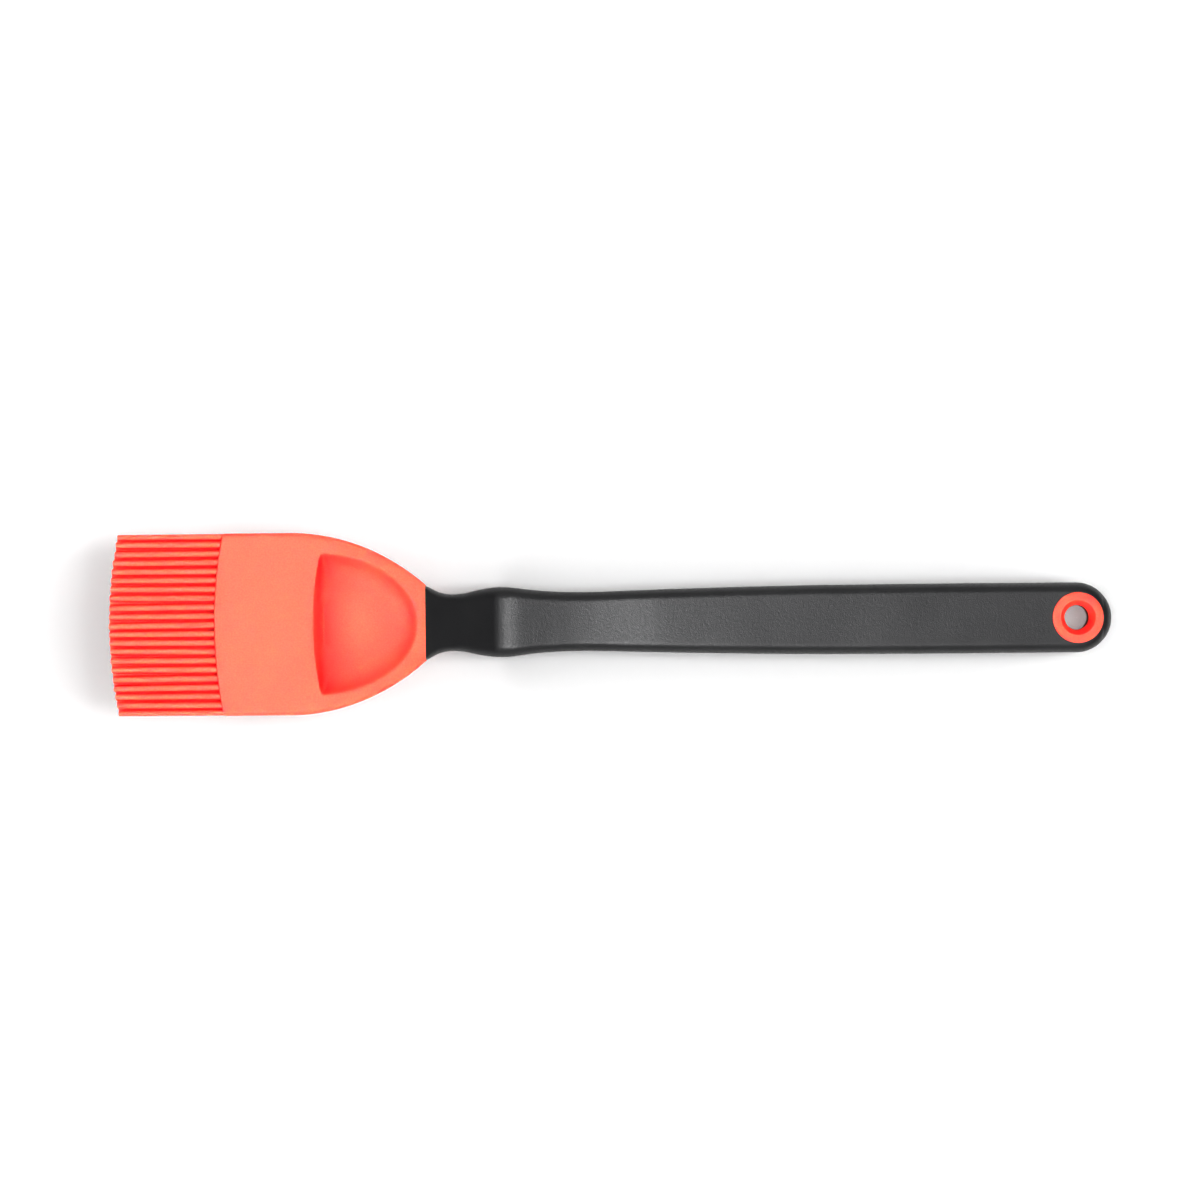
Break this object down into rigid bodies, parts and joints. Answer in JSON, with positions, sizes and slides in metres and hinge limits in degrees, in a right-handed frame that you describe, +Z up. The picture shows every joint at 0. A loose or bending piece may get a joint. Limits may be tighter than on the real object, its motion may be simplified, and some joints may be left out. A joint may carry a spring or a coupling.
{
  "type": "pastry brush",
  "caption": "Silicone pastry brush with a scooped flat head, a cranked neck that holds the bristles off the bench, and a long moulded grip with a hanging ring.",
  "frame": {"origin": "middle of the brush's length and width, on the bench it rests on", "axes": "+X from the bristle tips to the far end of the grip, +Y across the head, +Z up from the bench through the scooped face"},
  "size_m": [0.28, 0.0506, 0.026],
  "materials": {
    "nylon": "matte",
    "silicone": "satin"
  },
  "bodies": {
    "brush": {"handle": "nylon", "head": "silicone", "hang_ring": "silicone"},
    "bristles_1": {"bristle_row_1": "silicone"},
    "bristles_2": {"bristle_row_2": "silicone"},
    "bristles_3": {"bristle_row_3": "silicone"},
    "bristles_4": {"bristle_row_4": "silicone"},
    "bristles_5": {"bristle_row_5": "silicone"}
  },
  "joints": [
    {"name": "bristle_bend", "type": "hinge", "parent": "brush", "child": "bristles_3", "pos_m": [-0.11185, 0, 0.02025], "axis": [0, 1, 0], "range_deg": [-30, 30], "stiffness_Nm_per_rad": 0.006},
    {"name": "row_1_bend", "type": "hinge", "parent": "brush", "child": "bristles_1", "pos_m": [-0.11185, 0, 0.01585], "axis": [0, 1, 0], "range_deg": [-30, 30], "stiffness_Nm_per_rad": 0.006},
    {"name": "row_2_bend", "type": "hinge", "parent": "brush", "child": "bristles_2", "pos_m": [-0.11185, 0, 0.01805], "axis": [0, 1, 0], "range_deg": [-30, 30], "stiffness_Nm_per_rad": 0.006},
    {"name": "row_4_bend", "type": "hinge", "parent": "brush", "child": "bristles_4", "pos_m": [-0.11185, 0, 0.02245], "axis": [0, 1, 0], "range_deg": [-30, 30], "stiffness_Nm_per_rad": 0.006},
    {"name": "row_5_bend", "type": "hinge", "parent": "brush", "child": "bristles_5", "pos_m": [-0.11185, 0, 0.02465], "axis": [0, 1, 0], "range_deg": [-30, 30], "stiffness_Nm_per_rad": 0.006}
  ],
  "couplings": [
    {"joint": "row_1_bend", "follows": "bristle_bend", "ratio": 1},
    {"joint": "row_2_bend", "follows": "bristle_bend", "ratio": 1},
    {"joint": "row_4_bend", "follows": "bristle_bend", "ratio": 1},
    {"joint": "row_5_bend", "follows": "bristle_bend", "ratio": 1}
  ]
}
